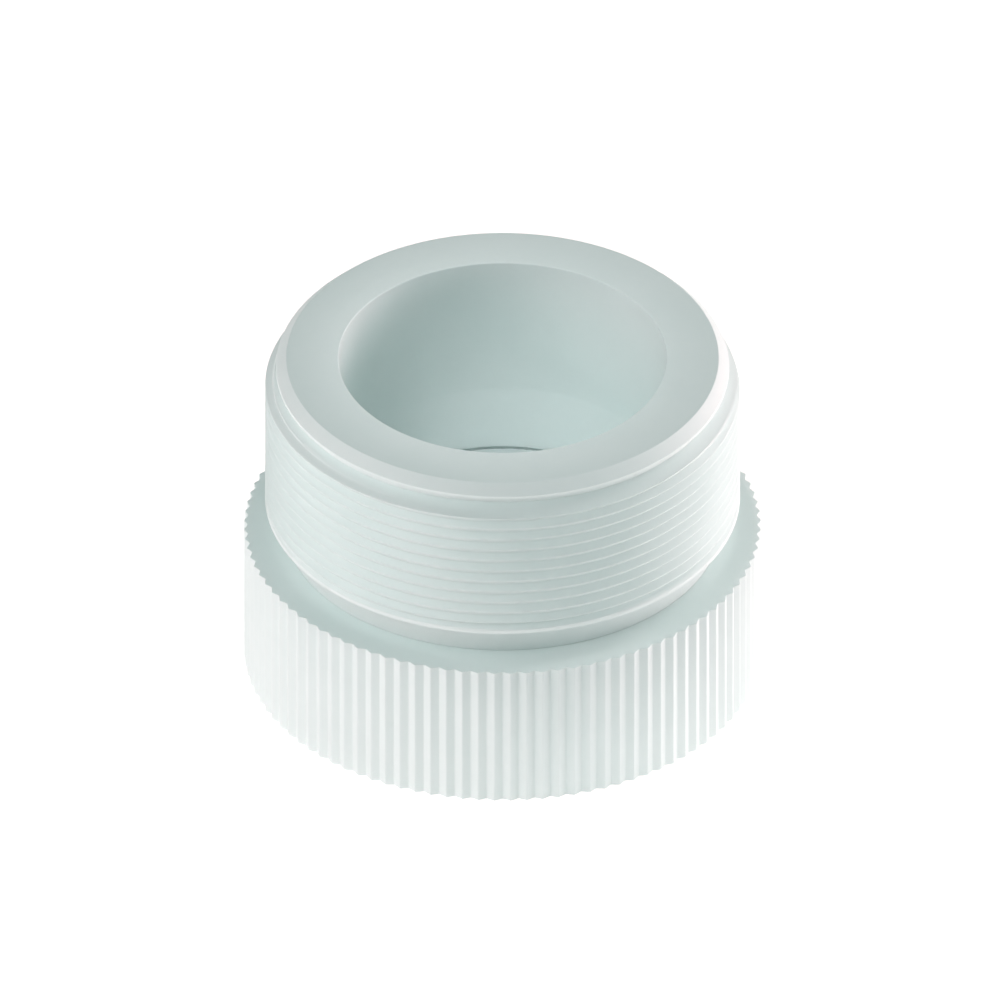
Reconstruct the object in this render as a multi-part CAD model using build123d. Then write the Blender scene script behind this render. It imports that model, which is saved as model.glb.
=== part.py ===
from build123d import *
import math
import os

# Screwed base stage of a plastic buchner filter: a threaded barrel with the filter bowl in it, a knurled
# union collar that turns freely on the barrel's spigot, a lift-out perforated plate and what holds and
# seals them. Millimetres, +Z up, origin at the centre of the collar's foot.

# Thread, on the barrel outside and in the collar's mouth, so that stages stack: M56 x 1.5, right-hand
THREAD_MAJOR_R = 28.0
THREAD_PITCH = 1.5
THREAD_ROOT_R = 27.08
THREAD_CREST = THREAD_PITCH / 8
FLANK_SLOPE = math.tan(math.radians(30))
THREAD_END_LAND = 0.55
THREAD_BITE = 0.1
CREST_DIP = 0.02
NUT_MINOR_R = 27.2
NUT_MAJOR_R = 28.15

# Levels up the axis
HEIGHT = 42.5
LIP_CHAMFER = 1.2
LIP_LAND_BOTTOM = 40.9
THREAD_TOP = 40.0
BOWL_TAPER_TOP = 24.4
THREAD_BOTTOM = 22.35
COLLAR_TOP = 18.4
BOWL_TAPER_FOOT = 16.4
COLLAR_WEB_BOTTOM = 15.9
NUT_THREAD_TOP = 7.6
NUT_THREAD_BOTTOM = 0.6
SPIGOT_FOOT = 9.8

# Barrel radii
LIP_R = 26.7
RELIEF_R = 26.0
NECK_R = 25.7
SPIGOT_R = 23.3
BOWL_R = 19.33
BOWL_FOOT_R = 18.65
BOWL_EDGE_FILLET = 0.15
DRAIN_BORE_R = 15.6
SHOULDER_GAP = 0.15

# Collar
COLLAR_R = 30.5
FLUTES = 100
FLUTE_DEPTH = 0.4
COLLAR_HOLE_R = 23.4
COLLAR_CAVITY_R = 28.3

# Perforated plate and the ledge that it lies on
LEDGE_Z = 14.4
PLATE_GAP = 0.05
PLATE_R = 18.2
PLATE_THICKNESS = 2.0
PLATE_EDGE_CHAMFER = 0.2
PLATE_HOLE_R = 0.7
PLATE_RING_STEP = 2.4
PLATE_RINGS = 6
HOLES_PER_RING_STEP = 6

# O-ring in the ledge
SEAL_CORD_R = 0.72
SEAL_CENTRE_R = 17.2
SEAL_GROOVE_WIDTH = 1.8
SEAL_GROOVE_DEPTH = 1.5

# Snap ring in the spigot's groove, with the slip washer on top of it
RING_GROOVE_R = 22.1
RING_GROOVE_BOTTOM = 13.6
RING_GROOVE_TOP = 15.0
RING_INNER_R = 22.2
RING_OUTER_R = 25.6
RING_THICKNESS = 1.3
RING_GAP_DEG = 16.0
RING_EYE_R = 0.7
WASHER_INNER_R = 23.4
WASHER_OUTER_R = 27.0
WASHER_THICKNESS = 0.8

# Rim gasket and drain cone under the spigot's foot
FOOT_GAP = 0.05
GASKET_INNER_R = 19.4
GASKET_OUTER_R = 26.8
GASKET_THICKNESS = 1.9
CONE_SKIRT_R = 15.55
CONE_SKIRT_TOP = 12.4
CONE_RIM_WIDTH = 0.65
CONE_WALL = 1.3
CONE_FLANGE_R = 19.3
CONE_FLANGE_BOTTOM = 8.3
SPOUT_R = 4.0
SPOUT_TOP = 9.2
SPOUT_BOTTOM = 7.9

FROM_BELOW = (Align.CENTER, Align.CENTER, Align.MIN)


def turned(*profile):
    """The solid that a closed outline of (radius, height) points makes round the axis."""
    return revolve(Plane.XZ * Polygon(*profile, align=None), Axis.Z)


def thread_ridge(base_r, crest_r, bottom, top):
    """One 60 degree ridge with a flat crest, wound right-handed between two levels, with blunt ends.

    A crest outside the base makes a male thread, and one inside it a female thread.
    """
    outward = math.copysign(1, crest_r - base_r)
    height = abs(crest_r - base_r)
    half_crest = THREAD_CREST / 2
    half_foot = half_crest + (height + THREAD_BITE) * FLANK_SLOPE
    helix = Helix(pitch=THREAD_PITCH, height=top - bottom - 2 * half_foot, radius=base_r)
    section = Plane(origin=helix @ 0, x_dir=(outward, 0, 0), z_dir=helix % 0) * Polygon(
        (-THREAD_BITE, -half_foot),
        (height, -half_crest),
        (height, half_crest),
        (-THREAD_BITE, half_foot),
        align=None,
    )
    return Pos(0, 0, bottom + half_foot) * sweep(section, path=helix, is_frenet=True)


def threaded_barrel():
    groove_inner_r = SEAL_CENTRE_R - SEAL_GROOVE_WIDTH / 2
    groove_outer_r = SEAL_CENTRE_R + SEAL_GROOVE_WIDTH / 2
    groove_floor = LEDGE_Z - SEAL_GROOVE_DEPTH
    shoulder = COLLAR_TOP + SHOULDER_GAP
    body = turned(
        (BOWL_R, HEIGHT),
        (LIP_R - LIP_CHAMFER, HEIGHT),
        (LIP_R, HEIGHT - LIP_CHAMFER),
        (LIP_R, LIP_LAND_BOTTOM),
        (RELIEF_R, LIP_LAND_BOTTOM),
        (RELIEF_R, THREAD_TOP),
        (THREAD_MAJOR_R, THREAD_TOP),
        (THREAD_MAJOR_R, THREAD_TOP - THREAD_END_LAND),
        (THREAD_ROOT_R, THREAD_TOP - THREAD_END_LAND),
        (THREAD_ROOT_R, THREAD_BOTTOM + THREAD_END_LAND),
        (THREAD_MAJOR_R, THREAD_BOTTOM + THREAD_END_LAND),
        (THREAD_MAJOR_R, THREAD_BOTTOM),
        (NECK_R, THREAD_BOTTOM),
        (NECK_R, shoulder),
        (SPIGOT_R, shoulder),
        (SPIGOT_R, RING_GROOVE_TOP),
        (RING_GROOVE_R, RING_GROOVE_TOP),
        (RING_GROOVE_R, RING_GROOVE_BOTTOM),
        (SPIGOT_R, RING_GROOVE_BOTTOM),
        (SPIGOT_R, SPIGOT_FOOT),
        (DRAIN_BORE_R, SPIGOT_FOOT),
        (DRAIN_BORE_R, LEDGE_Z),
        (groove_inner_r, LEDGE_Z),
        (groove_inner_r, groove_floor),
        (groove_outer_r, groove_floor),
        (groove_outer_r, LEDGE_Z),
        (BOWL_FOOT_R, LEDGE_Z),
        (BOWL_FOOT_R, BOWL_TAPER_FOOT),
        (BOWL_R, BOWL_TAPER_TOP),
    )
    mouth = body.edges().filter_by(GeomType.CIRCLE).filter_by(
        lambda edge: abs(edge.radius - BOWL_R) < 0.01 and edge.center().Z > HEIGHT - 0.01
    )
    body = fillet(mouth, BOWL_EDGE_FILLET)
    ridge = thread_ridge(
        THREAD_ROOT_R, THREAD_MAJOR_R - CREST_DIP, THREAD_BOTTOM + CREST_DIP, THREAD_TOP - CREST_DIP
    )
    return body + ridge


def knurled_collar():
    step = math.pi / FLUTES
    outline = []
    for i in range(FLUTES):
        root, crest = 2 * i * step, (2 * i + 1) * step
        outline.append(((COLLAR_R - FLUTE_DEPTH) * math.cos(root), (COLLAR_R - FLUTE_DEPTH) * math.sin(root)))
        outline.append((COLLAR_R * math.cos(crest), COLLAR_R * math.sin(crest)))
    blank = extrude(Polygon(*outline, align=None), COLLAR_TOP)
    inside = turned(
        (0, -1),
        (NUT_MAJOR_R, -1),
        (NUT_MAJOR_R, NUT_THREAD_BOTTOM),
        (NUT_MINOR_R, NUT_THREAD_BOTTOM),
        (NUT_MINOR_R, NUT_THREAD_BOTTOM + THREAD_END_LAND),
        (NUT_MAJOR_R, NUT_THREAD_BOTTOM + THREAD_END_LAND),
        (NUT_MAJOR_R, NUT_THREAD_TOP - THREAD_END_LAND),
        (NUT_MINOR_R, NUT_THREAD_TOP - THREAD_END_LAND),
        (NUT_MINOR_R, NUT_THREAD_TOP),
        (COLLAR_CAVITY_R, NUT_THREAD_TOP),
        (COLLAR_CAVITY_R, COLLAR_WEB_BOTTOM),
        (COLLAR_HOLE_R, COLLAR_WEB_BOTTOM),
        (COLLAR_HOLE_R, COLLAR_TOP + 1),
        (0, COLLAR_TOP + 1),
    )
    ridge = thread_ridge(
        NUT_MAJOR_R,
        NUT_MINOR_R + CREST_DIP,
        NUT_THREAD_BOTTOM + THREAD_END_LAND + CREST_DIP,
        NUT_THREAD_TOP - THREAD_END_LAND - CREST_DIP,
    )
    return blank - inside + ridge


def perforated_plate():
    bottom = LEDGE_Z + PLATE_GAP
    disc = Pos(0, 0, bottom) * Cylinder(PLATE_R, PLATE_THICKNESS, align=FROM_BELOW)
    disc = chamfer(disc.edges().group_by(Axis.Z)[-1], PLATE_EDGE_CHAMFER)
    drill = Pos(0, 0, bottom - 1) * Cylinder(PLATE_HOLE_R, PLATE_THICKNESS + 2, align=FROM_BELOW)
    holes = [drill]
    for ring in range(1, PLATE_RINGS + 1):
        holes += PolarLocations(ring * PLATE_RING_STEP, ring * HOLES_PER_RING_STEP) * drill
    return disc - holes


def plate_seal():
    height = LEDGE_Z - SEAL_GROOVE_DEPTH + SEAL_CORD_R + 0.02
    return Pos(0, 0, height) * Torus(SEAL_CENTRE_R, SEAL_CORD_R)


def slip_washer():
    top = RING_GROOVE_TOP + WASHER_THICKNESS
    return turned(
        (WASHER_INNER_R, RING_GROOVE_TOP),
        (WASHER_OUTER_R, RING_GROOVE_TOP),
        (WASHER_OUTER_R, top),
        (WASHER_INNER_R, top),
    )


def snap_ring():
    bottom = RING_GROOVE_TOP - RING_THICKNESS - 0.02
    middle_r = (RING_INNER_R + RING_OUTER_R) / 2
    ring = turned(
        (RING_INNER_R, bottom),
        (RING_OUTER_R, bottom),
        (RING_OUTER_R, bottom + RING_THICKNESS),
        (RING_INNER_R, bottom + RING_THICKNESS),
    )
    half_gap = math.radians(RING_GAP_DEG / 2)
    reach = RING_OUTER_R * 1.5
    gap = extrude(
        Polygon(
            (0, 0),
            (reach * math.sin(half_gap), reach * math.cos(half_gap)),
            (-reach * math.sin(half_gap), reach * math.cos(half_gap)),
            align=None,
        ),
        HEIGHT,
    )
    eye = Cylinder(RING_EYE_R, HEIGHT, align=FROM_BELOW)
    eye_angle = 90 + RING_GAP_DEG / 2 + 4
    eyes = [Rot(0, 0, turn) * Pos(middle_r, 0, 0) * eye for turn in (eye_angle, 180 - eye_angle)]
    return ring - gap - eyes


def rim_gasket():
    top = SPIGOT_FOOT - FOOT_GAP
    return turned(
        (GASKET_INNER_R, top - GASKET_THICKNESS),
        (GASKET_OUTER_R, top - GASKET_THICKNESS),
        (GASKET_OUTER_R, top),
        (GASKET_INNER_R, top),
    )


def drain_cone():
    flange_top = SPIGOT_FOOT - FOOT_GAP
    rim_r = CONE_SKIRT_R - CONE_RIM_WIDTH
    skirt_inner_r = CONE_SKIRT_R - CONE_WALL
    spout_outer_r = SPOUT_R + CONE_WALL
    slope = (CONE_SKIRT_TOP - SPOUT_TOP) / (rim_r - SPOUT_R)

    def underside(r):
        return SPOUT_TOP + (r - SPOUT_R) * slope - CONE_WALL

    return turned(
        (SPOUT_R, SPOUT_BOTTOM),
        (spout_outer_r, SPOUT_BOTTOM),
        (spout_outer_r, underside(spout_outer_r)),
        (skirt_inner_r, underside(skirt_inner_r)),
        (skirt_inner_r, CONE_FLANGE_BOTTOM),
        (CONE_FLANGE_R, CONE_FLANGE_BOTTOM),
        (CONE_FLANGE_R, flange_top),
        (CONE_SKIRT_R, flange_top),
        (CONE_SKIRT_R, CONE_SKIRT_TOP),
        (rim_r, CONE_SKIRT_TOP),
        (SPOUT_R, SPOUT_TOP),
    )


PIECES = (
    threaded_barrel,
    knurled_collar,
    perforated_plate,
    plate_seal,
    slip_washer,
    snap_ring,
    rim_gasket,
    drain_cone,
)

os.makedirs("parts", exist_ok=True)
for make in PIECES:
    export_step(make(), f"parts/{make.__name__}.step")
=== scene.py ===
import math

import bmesh
import bpy
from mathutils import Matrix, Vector


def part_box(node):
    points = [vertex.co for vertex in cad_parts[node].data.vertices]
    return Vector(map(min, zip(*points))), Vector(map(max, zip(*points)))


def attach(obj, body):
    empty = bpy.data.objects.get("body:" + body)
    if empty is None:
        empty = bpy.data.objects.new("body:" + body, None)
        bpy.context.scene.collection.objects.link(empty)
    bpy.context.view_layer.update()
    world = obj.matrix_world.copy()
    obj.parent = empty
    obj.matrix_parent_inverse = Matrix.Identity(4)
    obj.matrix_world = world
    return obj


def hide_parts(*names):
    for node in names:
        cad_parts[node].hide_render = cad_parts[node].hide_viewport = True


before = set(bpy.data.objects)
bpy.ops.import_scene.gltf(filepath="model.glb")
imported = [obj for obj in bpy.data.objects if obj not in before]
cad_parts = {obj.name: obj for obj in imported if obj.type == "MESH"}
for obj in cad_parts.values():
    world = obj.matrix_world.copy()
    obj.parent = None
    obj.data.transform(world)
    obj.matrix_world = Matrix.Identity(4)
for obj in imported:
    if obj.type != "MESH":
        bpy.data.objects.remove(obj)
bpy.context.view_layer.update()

MM = 0.001
TURN = 2 * math.pi

# ---------------------------------------------------------------- driving sizes, in millimetres


def low(node):
    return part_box(node)[0] / MM


def high(node):
    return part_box(node)[1] / MM


HEIGHT = high("threaded_barrel").z
SPIGOT_FOOT = low("threaded_barrel").z
COLLAR_TOP = high("knurled_collar").z
FLUTES = 100
COLLAR_R = high("knurled_collar").x / math.cos(math.pi / FLUTES)
THREAD_R = high("threaded_barrel").x

# thread: M56 x 1.5, right-hand, outside on the barrel and inside in the collar's mouth;
# its crests are drawn half as wide as the CAD's
PITCH = 1.5
THREAD_DEPTH = 0.92
THREAD_CREST = PITCH / 16
THREAD_FLANK_ANGLE = math.radians(30)
THREAD_ROOT = PITCH - THREAD_CREST - 2 * THREAD_DEPTH * math.tan(THREAD_FLANK_ANGLE)
THREAD_ROUNDING = 0.03
THREAD_RUN_OUT = 0.7
THREAD_TOP = 40.0
THREAD_BOTTOM = 22.35
END_LAND = 0.5
THREAD_LEAD_IN = 1.04
NUT_MAJOR_R = 28.15
NUT_MINOR_R = 27.2
NUT_THREAD_TOP = 7.6
NUT_THREAD_BOTTOM = 0.6

# barrel
LIP_R = 26.7
LIP_CHAMFER = 1.2
LIP_LAND_BOTTOM = 40.9
RELIEF_R = 26.0
NECK_R = 25.7
NECK_GAP = 0.02
NECK_FOOT = COLLAR_TOP + NECK_GAP
SPIGOT_R = 23.3
BOWL_R = 19.33
BOWL_FOOT_R = 18.65
BOWL_TAPER_TOP = 24.4
# the taper turns only about 5 degrees, so its corner needs a large radius to show in the shading
TAPER_CORNER = 5
# the shadow gap round the plate, which the CAD doesn't have
FOOT_RELIEF_DEPTH = 0.3
FOOT_RELIEF_HEIGHT = 0.6
FOOT_RELIEF_TOP_SLOPE = 0.05
FOOT_RELIEF_FOOT_SLOPE = 0.1
LEDGE_Z = 14.4
DRAIN_BORE_R = 15.6
SEAL_GROOVE_INNER_R = 16.3
SEAL_GROOVE_OUTER_R = 18.1
SEAL_GROOVE_FLOOR = 12.9
RING_GROOVE_R = 22.1
RING_GROOVE_BOTTOM = 13.6
RING_GROOVE_TOP = 15.0

# collar
FLUTE_DEPTH = 0.4
FLUTE_CREST = 0.12
FLUTE_ROUNDING = 0.06
COLLAR_HOLE_R = 23.4
COLLAR_WEB_BOTTOM = 15.9
COLLAR_CAVITY_R = 28.3
# how far inside the crests the collar's flat faces turn from fluted to round
TOP_FACE_INSET = 1.0
FOOT_FACE_INSET = 1.2

# perforated plate
PLATE_HOLE_R = 0.7
PLATE_RINGS = 6
PLATE_RING_STEP = 2.4
PLATE_EDGE = 0.12

# snap ring
RING_INNER_R = 22.2
RING_OUTER_R = high("snap_ring").x
RING_GAP = math.radians(16)
RING_EYE_R = 0.7
RING_EYE_AT = math.radians(4)
RING_EDGE = 0.08

# drain cone
CONE_SKIRT_R = 15.55
CONE_RIM_WIDTH = 0.65
CONE_WALL = 1.3
CONE_FLANGE_BOTTOM = 8.3
CONE_FLANGE_GAP = 0.05
SPOUT_R = 4.0
SPOUT_TOP = 9.2

# slip washer and rim gasket
WASHER_INNER_R = 23.4
GASKET_INNER_R = 19.4
GASKET_GROOVES_R = (21.6, 24.2)
GASKET_GROOVE_HALF_WIDTH = 0.35
GASKET_GROOVE_DEPTH = 0.2

COLUMNS = 360


# ---------------------------------------------------------------- mesh tools


def rounded(outline):
    """A closed outline of (radius, height, corner radius), with an arc at each corner that has one."""
    points = []
    for i, (r, z, corner) in enumerate(outline):
        here = Vector((r, z))
        back = Vector(outline[i - 1][:2]) - here
        ahead = Vector(outline[(i + 1) % len(outline)][:2]) - here
        if not corner:
            points.append((r, z))
            continue
        half_turn = back.angle(ahead) / 2
        reach = min(corner / math.tan(half_turn), 0.45 * back.length, 0.45 * ahead.length)
        radius = reach * math.tan(half_turn)
        centre = here + (back.normalized() + ahead.normalized()).normalized() * radius / math.sin(half_turn)
        start = here + back.normalized() * reach - centre
        end = here + ahead.normalized() * reach - centre
        steps = 5
        for step in range(steps + 1):
            spoke = start.lerp(end, step / steps).normalized() * radius
            points.append(tuple(centre + spoke))
    return points


def circle_angles(columns):
    return [TURN * i / columns for i in range(columns)]


def add_ring(bm, radii, z, angles):
    """A ring of vertices; radii is one radius, or one for each angle."""
    if isinstance(radii, (int, float)):
        radii = [radii] * len(angles)
    return [bm.verts.new((r * math.cos(a) * MM, r * math.sin(a) * MM, z * MM)) for r, a in zip(radii, angles)]


def bridge(bm, ring_a, ring_b):
    for i in range(len(ring_a)):
        bm.faces.new((ring_a[i - 1], ring_a[i], ring_b[i], ring_b[i - 1]))


def bridge_all(bm, rings):
    for ring_a, ring_b in zip(rings, rings[1:]):
        bridge(bm, ring_a, ring_b)


def thread_rows():
    """(offset along the axis, share of the full depth) of the rows of one turn, from a crest's middle up."""
    half_crest = THREAD_CREST / 2
    half_root = THREAD_ROOT / 2
    soft = THREAD_ROUNDING
    flank = PITCH / 2 - half_crest - half_root
    going_in = [
        (0.0, 0.0),
        (half_crest - soft, 0.0),
        (half_crest, 0.02),
        (half_crest + soft, soft / flank),
        (half_crest + flank / 3, 1 / 3),
        (half_crest + 2 * flank / 3, 2 / 3),
        (half_crest + flank - soft, 1 - soft / flank),
        (half_crest + flank, 0.98),
        (PITCH / 2, 1.0),
    ]
    coming_out = [(PITCH - offset, depth) for offset, depth in reversed(going_in[1:-1])]
    return going_in + coming_out


def ease(x):
    x = min(max(x, 0.0), 1.0)
    return x * x * (3 - 2 * x)


def lead_in_radius(z):
    """The cone that the barrel's thread is turned down to at its top, from the relief out to the crests."""
    return RELIEF_R + (THREAD_R - RELIEF_R) * (THREAD_TOP - z) / THREAD_LEAD_IN


def add_thread(bm, lower, upper, z_low, z_high, crest_r, root_r, angles, lead_in=None):
    """Fills the band between two rings with a right-hand helical thread.

    It fades out at its lower end, and at its top it fades out too or is cut by the lead-in.
    """
    rows = thread_rows()
    per_turn = len(rows)
    columns = len(angles)
    margin = 0.03
    turns = math.ceil((z_high - z_low) / PITCH) + 1
    verts = {}
    for i, angle in enumerate(angles):
        for turn in range(-1, turns):
            for k, (offset, depth) in enumerate(rows):
                z = z_low + PITCH * (turn + angle / TURN) + offset
                if not z_low + margin < z < z_high - margin:
                    continue
                fade = ease((z - z_low) / THREAD_RUN_OUT)
                if not lead_in:
                    fade *= ease((z_high - z) / THREAD_RUN_OUT)
                r = crest_r + (root_r - crest_r) * depth * fade
                if lead_in:
                    r = min(r, lead_in(z))
                verts[i, turn * per_turn + k] = bm.verts.new(
                    (r * math.cos(angle) * MM, r * math.sin(angle) * MM, z * MM)
                )

    def column(i):
        shift = per_turn if i == columns else 0
        return {j - shift: v for (c, j), v in verts.items() if c == i % columns}

    left = column(0)
    for i in range(columns):
        right = column(i + 1)
        shared = sorted(set(left) & set(right))
        first, last = shared[0], shared[-1]
        for j in shared[:-1]:
            bm.faces.new((left[j], right[j], right[j + 1], left[j + 1]))
        extra_right = [right[j] for j in sorted(right) if j < first]
        extra_left = [left[j] for j in sorted(left, reverse=True) if j > last]
        after = (i + 1) % columns
        bm.faces.new((lower[i], lower[after], *extra_right, right[first], left[first]))
        bm.faces.new((left[last], right[last], upper[after], upper[i], *extra_left))
        left = right


def to_object(name, bm, sharp_degrees=35):
    bmesh.ops.recalc_face_normals(bm, faces=bm.faces)
    mesh = bpy.data.meshes.new(name)
    bm.to_mesh(mesh)
    bm.free()
    mesh.shade_smooth()
    mesh.set_sharp_from_angle(angle=math.radians(sharp_degrees))
    obj = bpy.data.objects.new(name, mesh)
    bpy.context.scene.collection.objects.link(obj)
    return obj


def lathe(name, outline, columns=COLUMNS):
    """The piece that a closed outline of (radius, height, corner radius) makes round the axis."""
    bm = bmesh.new()
    angles = circle_angles(columns)
    rings = [add_ring(bm, r, z, angles) for r, z in rounded(outline)]
    bridge_all(bm, rings + rings[:1])
    return to_object(name, bm)


def circle(radius, x=0.0, y=0.0, sides=48):
    return [(x + radius * math.cos(a), y + radius * math.sin(a)) for a in circle_angles(sides)]


def cut_from_sheet(name, loops, bottom, top, edge):
    """A flat piece: the first loop is its outline and the rest are holes, all with softened edges."""
    curve = bpy.data.curves.new(name, "CURVE")
    curve.dimensions = "2D"
    curve.fill_mode = "BOTH"
    for loop in loops:
        spline = curve.splines.new("POLY")
        spline.points.add(len(loop) - 1)
        for point, (x, y) in zip(spline.points, loop):
            point.co = (x * MM, y * MM, 0, 1)
        spline.use_cyclic_u = True
    curve.extrude = ((top - bottom) / 2 - edge) * MM
    curve.bevel_depth = edge * MM
    curve.bevel_resolution = 2
    curve.offset = -edge * MM
    shape = bpy.data.objects.new(name + "_outline", curve)
    bpy.context.scene.collection.objects.link(shape)
    mesh = bpy.data.meshes.new_from_object(shape.evaluated_get(bpy.context.evaluated_depsgraph_get()))
    bpy.data.objects.remove(shape)
    bpy.data.curves.remove(curve)
    bm = bmesh.new()
    bm.from_mesh(mesh)
    bpy.data.meshes.remove(mesh)
    bmesh.ops.remove_doubles(bm, verts=bm.verts, dist=1e-6)
    bmesh.ops.translate(bm, verts=bm.verts, vec=(0, 0, (top + bottom) / 2 * MM))
    return to_object(name, bm)


# ---------------------------------------------------------------- pieces


def make_barrel():
    """The threaded barrel: lip, bowl, ledge, spigot and neck are turned; the thread fills the open band."""
    thread_low = THREAD_BOTTOM + END_LAND
    plate_top = high("perforated_plate").z
    relief_r = BOWL_FOOT_R + FOOT_RELIEF_DEPTH
    relief_low = plate_top - FOOT_RELIEF_HEIGHT
    outline = [
        (RELIEF_R, THREAD_TOP, 0),
        (RELIEF_R, LIP_LAND_BOTTOM, 0.08),
        (LIP_R, LIP_LAND_BOTTOM, 0.06),
        (LIP_R, HEIGHT - LIP_CHAMFER, 0.12),
        (LIP_R - LIP_CHAMFER, HEIGHT, 0.12),
        (BOWL_R, HEIGHT, 0.15),
        (BOWL_R, BOWL_TAPER_TOP, TAPER_CORNER),
        (BOWL_FOOT_R, plate_top + FOOT_RELIEF_TOP_SLOPE, 0),
        (relief_r, plate_top, 0.05),
        (relief_r, relief_low, 0.1),
        (BOWL_FOOT_R, relief_low - FOOT_RELIEF_FOOT_SLOPE, 0),
        (BOWL_FOOT_R, LEDGE_Z, 0.15),
        (SEAL_GROOVE_OUTER_R, LEDGE_Z, 0.08),
        (SEAL_GROOVE_OUTER_R, SEAL_GROOVE_FLOOR, 0.15),
        (SEAL_GROOVE_INNER_R, SEAL_GROOVE_FLOOR, 0.15),
        (SEAL_GROOVE_INNER_R, LEDGE_Z, 0.08),
        (DRAIN_BORE_R, LEDGE_Z, 0.15),
        (DRAIN_BORE_R, SPIGOT_FOOT, 0.15),
        (SPIGOT_R, SPIGOT_FOOT, 0.3),
        (SPIGOT_R, RING_GROOVE_BOTTOM, 0.06),
        (RING_GROOVE_R, RING_GROOVE_BOTTOM, 0.1),
        (RING_GROOVE_R, RING_GROOVE_TOP, 0.1),
        (SPIGOT_R, RING_GROOVE_TOP, 0.06),
        (SPIGOT_R, NECK_FOOT, 0.1),
        (NECK_R, NECK_FOOT, NECK_GAP),
        (NECK_R, THREAD_BOTTOM, 0.25),
        (THREAD_R, THREAD_BOTTOM, 0.12),
        (THREAD_R, thread_low, 0),
    ]
    bm = bmesh.new()
    angles = circle_angles(COLUMNS)
    rings = [add_ring(bm, r, z, angles) for r, z in rounded(outline)]
    bridge_all(bm, rings)
    root_r = THREAD_R - THREAD_DEPTH
    add_thread(bm, rings[-1], rings[0], thread_low, THREAD_TOP, THREAD_R, root_r, angles, lead_in_radius)
    return to_object("barrel", bm)


def flute_columns():
    """Angle, and share of the flute's depth, of each column round the collar: flat-sided V flutes, softened.

    A flute's root is at angle 0.
    """
    width = TURN * COLLAR_R / FLUTES
    flat = FLUTE_CREST / 2
    soft = FLUTE_ROUNDING
    side = [
        (0.0, 0.0),
        (flat, 0.0),
        (flat + soft, 0.06),
        (width / 2 - flat - soft, 0.94),
        (width / 2 - flat, 1.0),
        (width / 2, 1.0),
    ]
    one = side[:-1] + [(width - along, depth) for along, depth in reversed(side[1:])]
    columns = []
    for flute in range(FLUTES):
        columns += [(((flute + 0.5) * width + along) / COLLAR_R, depth) for along, depth in one]
    return columns


def make_collar():
    """The knurled collar: fluted outside, turned inside, with the female thread in its mouth."""
    columns = flute_columns()
    angles = [angle for angle, depth in columns]
    edge = 0.1
    bm = bmesh.new()

    def fluted(z, inset):
        return add_ring(bm, [COLLAR_R - inset - FLUTE_DEPTH * depth for angle, depth in columns], z, angles)

    outside = [
        fluted(0, edge * 2),
        fluted(edge * 0.3, edge * 0.6),
        fluted(edge, 0),
        fluted(COLLAR_TOP - edge * 0.5, 0),
        fluted(COLLAR_TOP - edge * 0.15, edge * 0.15),
        fluted(COLLAR_TOP, edge * 0.5),
    ]
    thread_low = NUT_THREAD_BOTTOM + END_LAND
    thread_high = NUT_THREAD_TOP - END_LAND
    above = rounded(
        [
            (COLLAR_R - TOP_FACE_INSET, COLLAR_TOP, 0),
            (COLLAR_HOLE_R, COLLAR_TOP, 0.15),
            (COLLAR_HOLE_R, COLLAR_WEB_BOTTOM, 0.15),
            (COLLAR_CAVITY_R, COLLAR_WEB_BOTTOM, 0.4),
            (COLLAR_CAVITY_R, NUT_THREAD_TOP, 0.2),
            (NUT_MINOR_R, NUT_THREAD_TOP, 0.1),
            (NUT_MINOR_R, thread_high, 0),
        ]
    )
    below = rounded(
        [
            (NUT_MINOR_R, thread_low, 0),
            (NUT_MINOR_R, NUT_THREAD_BOTTOM, 0.1),
            (NUT_MAJOR_R, NUT_THREAD_BOTTOM, 0.1),
            (NUT_MAJOR_R, 0, 0.2),
            (COLLAR_R - FOOT_FACE_INSET, 0, 0),
        ]
    )
    above = [add_ring(bm, r, z, angles) for r, z in above]
    below = [add_ring(bm, r, z, angles) for r, z in below]
    bridge_all(bm, outside + above)
    bridge_all(bm, below + outside[:1])
    add_thread(bm, below[0], above[-1], thread_low, thread_high, NUT_MINOR_R, NUT_MAJOR_R, angles)
    return to_object("collar", bm, sharp_degrees=50)


def make_plate():
    holes = [circle(PLATE_HOLE_R, sides=24)]
    for ring in range(1, PLATE_RINGS + 1):
        for a in circle_angles(6 * ring):
            r = ring * PLATE_RING_STEP
            holes.append(circle(PLATE_HOLE_R, r * math.cos(a), r * math.sin(a), sides=24))
    rim = circle(high("perforated_plate").x, sides=COLUMNS)
    bottom, top = low("perforated_plate").z, high("perforated_plate").z
    return cut_from_sheet("plate", [rim] + holes, bottom, top, PLATE_EDGE)


def make_snap_ring():
    start = math.pi / 2 + RING_GAP / 2
    sweep = TURN - RING_GAP
    steps = 240
    arc = [start + sweep * i / steps for i in range(steps + 1)]
    outer = [(RING_OUTER_R * math.cos(a), RING_OUTER_R * math.sin(a)) for a in arc]
    inner = [(RING_INNER_R * math.cos(a), RING_INNER_R * math.sin(a)) for a in reversed(arc)]
    middle = (RING_INNER_R + RING_OUTER_R) / 2
    eyes = [
        circle(RING_EYE_R, middle * math.cos(a), middle * math.sin(a))
        for a in (start + RING_EYE_AT, start + sweep - RING_EYE_AT)
    ]
    bottom, top = low("snap_ring").z, high("snap_ring").z
    return cut_from_sheet("retaining_ring", [outer + inner] + eyes, bottom, top, RING_EDGE)


def make_washer():
    inner, outer = WASHER_INNER_R, high("slip_washer").x
    bottom, top = low("slip_washer").z, high("slip_washer").z
    corners = [(inner, bottom), (outer, bottom), (outer, top), (inner, top)]
    return lathe("thrust_washer", [(r, z, 0.12) for r, z in corners])


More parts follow.
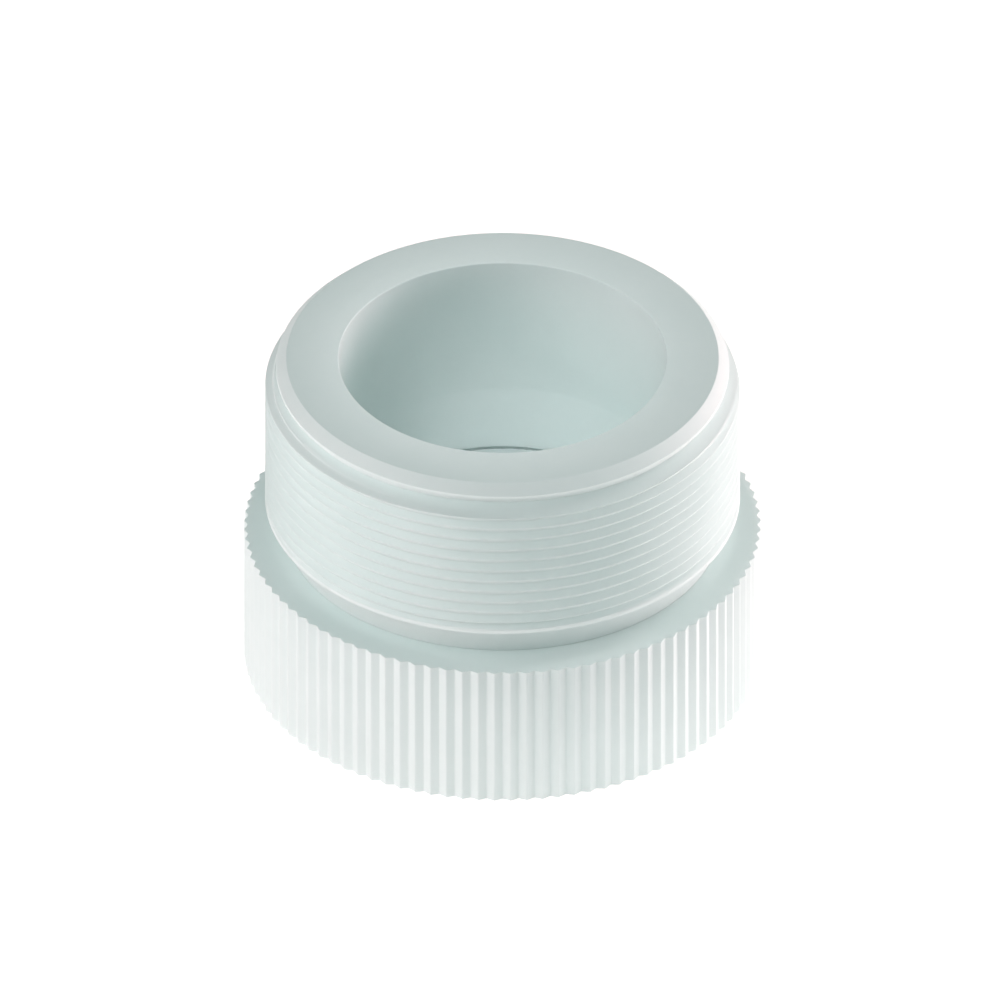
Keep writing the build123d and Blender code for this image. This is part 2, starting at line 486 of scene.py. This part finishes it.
def make_gasket():
    """A flat ring with two shallow grooves in its sealing face."""
    inner, outer = GASKET_INNER_R, high("rim_gasket").x
    bottom, top = low("rim_gasket").z, high("rim_gasket").z
    outline = [(inner, top, 0.2), (inner, bottom, 0.25)]
    for groove in GASKET_GROOVES_R:
        outline += [
            (groove - GASKET_GROOVE_HALF_WIDTH, bottom, 0.1),
            (groove, bottom + GASKET_GROOVE_DEPTH, 0.1),
            (groove + GASKET_GROOVE_HALF_WIDTH, bottom, 0.1),
        ]
    outline += [(outer, bottom, 0.25), (outer, top, 0.2)]
    return lathe("receiver_gasket", outline)


def make_seal():
    """An O-ring with the fine flash line of its mould round the inside and the outside."""
    centre_r = (SEAL_GROOVE_INNER_R + SEAL_GROOVE_OUTER_R) / 2
    bottom, top = low("plate_seal").z, high("plate_seal").z
    cord_r = (top - bottom) / 2
    flash_height = 0.02
    outline = []
    sides = 40
    for a in circle_angles(sides):
        on_mould_line = abs(math.sin(a)) < 0.01
        reach = cord_r if on_mould_line else cord_r - flash_height
        outline.append((centre_r + reach * math.cos(a), (bottom + top) / 2 + cord_r * math.sin(a), 0))
    return lathe("o_ring", outline)


def make_cone():
    bottom, flange_top = low("drain_cone").z, SPIGOT_FOOT - CONE_FLANGE_GAP
    rim_top = high("drain_cone").z
    rim_r = CONE_SKIRT_R - CONE_RIM_WIDTH
    skirt_inner_r = CONE_SKIRT_R - CONE_WALL
    spout_outer_r = SPOUT_R + CONE_WALL
    slope = (rim_top - SPOUT_TOP) / (rim_r - SPOUT_R)

    def underside(r):
        return SPOUT_TOP + (r - SPOUT_R) * slope - CONE_WALL

    return lathe(
        "drain_funnel",
        [
            (SPOUT_R, bottom, 0.12),
            (spout_outer_r, bottom, 0.12),
            (spout_outer_r, underside(spout_outer_r), 0.1),
            (skirt_inner_r, underside(skirt_inner_r), 0.3),
            (skirt_inner_r, CONE_FLANGE_BOTTOM, 0.12),
            (high("drain_cone").x, CONE_FLANGE_BOTTOM, 0.15),
            (high("drain_cone").x, flange_top, 0.15),
            (CONE_SKIRT_R, flange_top, 0.1),
            (CONE_SKIRT_R, rim_top, 0.15),
            (rim_r, rim_top, 0.1),
            (SPOUT_R, SPOUT_TOP, 0.3),
        ],
    )


# ---------------------------------------------------------------- materials


class Nodes:
    """Short names for building one material's node tree."""

    def __init__(self, name):
        self.material = bpy.data.materials.new(name)
        self.material.use_nodes = True
        self.tree = self.material.node_tree
        self.shader = self.tree.nodes["Principled BSDF"]

    def add(self, kind, **settings):
        node = self.tree.nodes.new("ShaderNode" + kind)
        for key, value in settings.items():
            setattr(node, key, value)
        return node

    def link(self, output, to):
        self.tree.links.new(output, to)

    def maths(self, operation, a, b=None):
        node = self.add("Math", operation=operation)
        for socket, value in zip(node.inputs, (a, b)):
            if value is None:
                continue
            if isinstance(value, (int, float)):
                socket.default_value = value
            else:
                self.link(value, socket)
        return node.outputs[0]

    def noise(self, vector, scale, detail=2.0, roughness=0.5):
        node = self.add("TexNoise")
        node.inputs["Scale"].default_value = scale
        node.inputs["Detail"].default_value = detail
        node.inputs["Roughness"].default_value = roughness
        self.link(vector, node.inputs["Vector"])
        return node.outputs["Fac"]

    def ramp(self, value, low_in, high_in, low_out, high_out):
        node = self.add("MapRange")
        for socket, number in zip(node.inputs[1:5], (low_in, high_in, low_out, high_out)):
            socket.default_value = number
        self.link(value, node.inputs[0])
        return node.outputs[0]


def machined_plastic(name, colour, shade, roughness, marks, grain):
    """Turned plastic: rings left by the tool, a fine grain, and a little uneven tone.

    marks and grain are the heights of the tool rings and of the grain, in millimetres.
    """
    n = Nodes(name)
    place = n.add("TexCoord").outputs["Object"]
    split = n.add("SeparateXYZ")
    n.link(place, split.inputs[0])
    square = n.maths("ADD", n.maths("MULTIPLY", split.outputs[0], split.outputs[0]),
                     n.maths("MULTIPLY", split.outputs[1], split.outputs[1]))
    radius = n.maths("SQRT", square)
    profile = n.add("CombineXYZ")
    n.link(radius, profile.inputs[0])
    n.link(split.outputs[2], profile.inputs[1])
    rings = n.noise(profile.outputs[0], 2600, detail=3.0, roughness=0.6)
    fine = n.noise(place, 1500, detail=4.0, roughness=0.65)
    cloud = n.noise(place, 90, detail=3.0, roughness=0.55)

    mix = n.add("Mix", data_type="RGBA")
    mix.inputs["A"].default_value = (*colour, 1)
    mix.inputs["B"].default_value = (*shade, 1)
    tone = n.maths("ADD", cloud, n.maths("MULTIPLY", fine, 0.25))
    n.link(n.ramp(tone, 0.5, 0.8, 0.0, 1.0), mix.inputs["Factor"])
    n.link(mix.outputs["Result"], n.shader.inputs["Base Color"])

    rough = n.maths("ADD", n.ramp(cloud, 0.3, 0.7, roughness - 0.05, roughness + 0.05),
                    n.ramp(fine, 0.3, 0.7, -0.04, 0.04))
    n.link(rough, n.shader.inputs["Roughness"])

    height = n.maths("ADD", n.maths("MULTIPLY", rings, marks * MM), n.maths("MULTIPLY", fine, grain * MM))
    bump = n.add("Bump")
    bump.inputs["Strength"].default_value = 1.0
    bump.inputs["Distance"].default_value = 1.0
    n.link(height, bump.inputs["Height"])
    n.link(bump.outputs[0], n.shader.inputs["Normal"])
    n.shader.inputs["IOR"].default_value = 1.38
    return n.material


def moulded_rubber(name, colour, shade, roughness):
    """Moulded elastomer: dull, finely pebbled, with a faint bloom."""
    n = Nodes(name)
    place = n.add("TexCoord").outputs["Object"]
    pebble = n.noise(place, 5000, detail=3.0, roughness=0.6)
    bloom = n.noise(place, 250, detail=4.0, roughness=0.6)
    mix = n.add("Mix", data_type="RGBA")
    mix.inputs["A"].default_value = (*colour, 1)
    mix.inputs["B"].default_value = (*shade, 1)
    n.link(n.ramp(bloom, 0.4, 0.7, 0.0, 1.0), mix.inputs["Factor"])
    n.link(mix.outputs["Result"], n.shader.inputs["Base Color"])
    n.link(n.ramp(pebble, 0.3, 0.7, roughness - 0.08, roughness + 0.08), n.shader.inputs["Roughness"])
    bump = n.add("Bump")
    bump.inputs["Strength"].default_value = 1.0
    bump.inputs["Distance"].default_value = 1.0
    n.link(n.maths("MULTIPLY", pebble, 0.02 * MM), bump.inputs["Height"])
    n.link(bump.outputs[0], n.shader.inputs["Normal"])
    return n.material


WHITE = (0.79, 0.89, 0.875)
WHITE_SHADE = (0.765, 0.87, 0.855)
# the plate's white and its second tone are painted darker than the barrel's white: painted shade for the
# plate lying deep in the bowl
PLATE_WHITE_PAINTED_SHADE = (0.6, 0.69, 0.68)
PLATE_SHADE = (0.56, 0.66, 0.65)
WASHER_WHITE = (0.72, 0.75, 0.72)
WASHER_SHADE = (0.69, 0.72, 0.7)
BEIGE = (0.42, 0.33, 0.22)
BEIGE_SHADE = (0.38, 0.3, 0.2)
BLACK = (0.018, 0.018, 0.02)
BLACK_BLOOM = (0.03, 0.03, 0.032)
GREY = (0.42, 0.45, 0.44)
GREY_BLOOM = (0.47, 0.5, 0.49)


def make_materials():
    return {
        "barrel": machined_plastic("barrel_white", WHITE, WHITE_SHADE, 0.48, marks=0.006, grain=0.006),
        "collar": machined_plastic("collar_white", WHITE, WHITE_SHADE, 0.5, marks=0.004, grain=0.006),
        # the plate's colours are darkened as painted shade for the deep bowl it sits in
        "plate": machined_plastic("plate_white_painted_shade", PLATE_WHITE_PAINTED_SHADE, PLATE_SHADE, 0.5, marks=0.004, grain=0.008),
        "cone": machined_plastic("cone_white", WHITE, WHITE_SHADE, 0.45, marks=0.004, grain=0.004),
        "washer": machined_plastic("washer_white", WASHER_WHITE, WASHER_SHADE, 0.3, marks=0.003, grain=0.002),
        "ring": machined_plastic("ring_beige", BEIGE, BEIGE_SHADE, 0.45, marks=0.002, grain=0.004),
        "seal": moulded_rubber("seal_black", BLACK, BLACK_BLOOM, 0.6),
        "gasket": moulded_rubber("gasket_grey", GREY, GREY_BLOOM, 0.5),
    }


def dress(piece, material, body, node):
    piece.data.materials.clear()
    piece.data.materials.append(material)
    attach(piece, body)
    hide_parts(node)


def make_object():
    m = make_materials()
    dress(make_barrel(), m["barrel"], "barrel", "threaded_barrel")
    dress(make_collar(), m["collar"], "collar", "knurled_collar")
    dress(make_plate(), m["plate"], "plate", "perforated_plate")
    dress(make_snap_ring(), m["ring"], "barrel", "snap_ring")
    dress(make_washer(), m["washer"], "barrel", "slip_washer")
    dress(make_gasket(), m["gasket"], "barrel", "rim_gasket")
    dress(make_seal(), m["seal"], "barrel", "plate_seal")
    dress(make_cone(), m["cone"], "barrel", "drain_cone")


# ---------------------------------------------------------------- floor, lights and camera, in metres

LIGHT_DISTANCE = 0.6
SOFTBOX_SIZE = 0.3
FLOOR_HALF_WIDTH = 1.5
CAMERA_DISTANCE = 0.5
VIEW_WIDTH = 117.9 * MM
VIEW_CENTRE = Vector((-0.3, 0, 21.95)) * MM

# name, azimuth and elevation in degrees, power in watts, tint
SOFTBOXES = (
    ("low_right", 90, 3, 2.1, (1.0, 0.83, 0.86)),
    ("low_right_rear", 122, 3, 2.6, (1.0, 0.7, 0.72)),
    ("high_right_rear", 122, 40, 1.03, (1.0, 0.99, 0.98)),
    ("high_left", -80, 42, 0.78, (1.0, 1.0, 1.0)),
    ("low_left", -68, 12, 0.87, (1.0, 0.65, 0.69)),
    ("front_left", -42, 42, 0.45, (0.97, 1.0, 1.0)),
    ("front", -15, 45, 0.34, (1.0, 0.98, 1.0)),
)


def make_floor():
    bm = bmesh.new()
    bmesh.ops.create_grid(bm, x_segments=1, y_segments=1, size=FLOOR_HALF_WIDTH)
    floor = to_object("floor", bm)
    n = Nodes("pale_floor")
    n.shader.inputs["Base Color"].default_value = (0.9, 0.9, 0.9, 1)
    n.shader.inputs["Roughness"].default_value = 0.9
    n.shader.inputs["Emission Color"].default_value = (1, 0.88, 0.88, 1)
    n.shader.inputs["Emission Strength"].default_value = 0.62
    floor.data.materials.append(n.material)


def aim(light, target, azimuth, elevation):
    """Hangs a light where it looks at the target. Azimuth 0 is in front, and 90 on the right."""
    lamp = bpy.data.objects.new(light.name, light)
    a, e = math.radians(azimuth), math.radians(elevation)
    towards_lamp = Vector((math.cos(e) * math.sin(a), -math.cos(e) * math.cos(a), math.sin(e)))
    lamp.location = target + LIGHT_DISTANCE * towards_lamp
    lamp.rotation_euler = (target - lamp.location).to_track_quat("-Z", "Y").to_euler()
    bpy.context.scene.collection.objects.link(lamp)
    return lamp


def add_softbox(name, azimuth, elevation, power, tint):
    light = bpy.data.lights.new(name, "AREA")
    light.size = SOFTBOX_SIZE
    light.energy = power
    light.color = tint
    aim(light, Vector((0, 0, HEIGHT / 2 * MM)), azimuth, elevation)


def add_bowl_spot(azimuth, elevation, power, tint):
    """A beam that just fits the bowl's mouth, so that it lights the bowl and not the face round it."""
    light = bpy.data.lights.new("bowl_spot", "SPOT")
    light.spot_size = 2 * math.atan(BOWL_R * MM / LIGHT_DISTANCE)
    light.spot_blend = 0.35
    light.shadow_soft_size = 0.01
    light.energy = power
    light.color = tint
    lamp = aim(light, Vector((0, 0, HEIGHT * MM)), azimuth, elevation)
    lamp.scale.y = math.sin(math.radians(elevation))


def make_lights():
    """Low boxes brighten the walls, high ones the flat faces and chamfers, and a spot fills the bowl."""
    for name, azimuth, elevation, power, tint in SOFTBOXES:
        add_softbox(name, azimuth, elevation, power, tint)
    add_bowl_spot(-8, 60, 6.0, (1.0, 0.91, 0.94))
    world = bpy.data.worlds.new("studio")
    world.use_nodes = True
    background = world.node_tree.nodes["Background"]
    background.inputs["Color"].default_value = (0.5, 1, 0.93, 1)
    background.inputs["Strength"].default_value = 0.09
    bpy.context.scene.world = world


def make_camera():
    """Parallel projection, looking down at the true isometric angle."""
    elevation = math.atan(1 / math.sqrt(2))
    camera = bpy.data.cameras.new("camera")
    camera.type = "ORTHO"
    camera.ortho_scale = VIEW_WIDTH
    camera.clip_start = 0.01
    holder = bpy.data.objects.new("camera", camera)
    towards_camera = Vector((0, -math.cos(elevation), math.sin(elevation)))
    holder.location = VIEW_CENTRE + CAMERA_DISTANCE * towards_camera
    holder.rotation_euler = (math.pi / 2 - elevation, 0, 0)
    bpy.context.scene.collection.objects.link(holder)
    bpy.context.scene.camera = holder


make_object()
make_floor()
make_lights()
make_camera()
bpy.context.scene.view_settings.view_transform = "Standard"
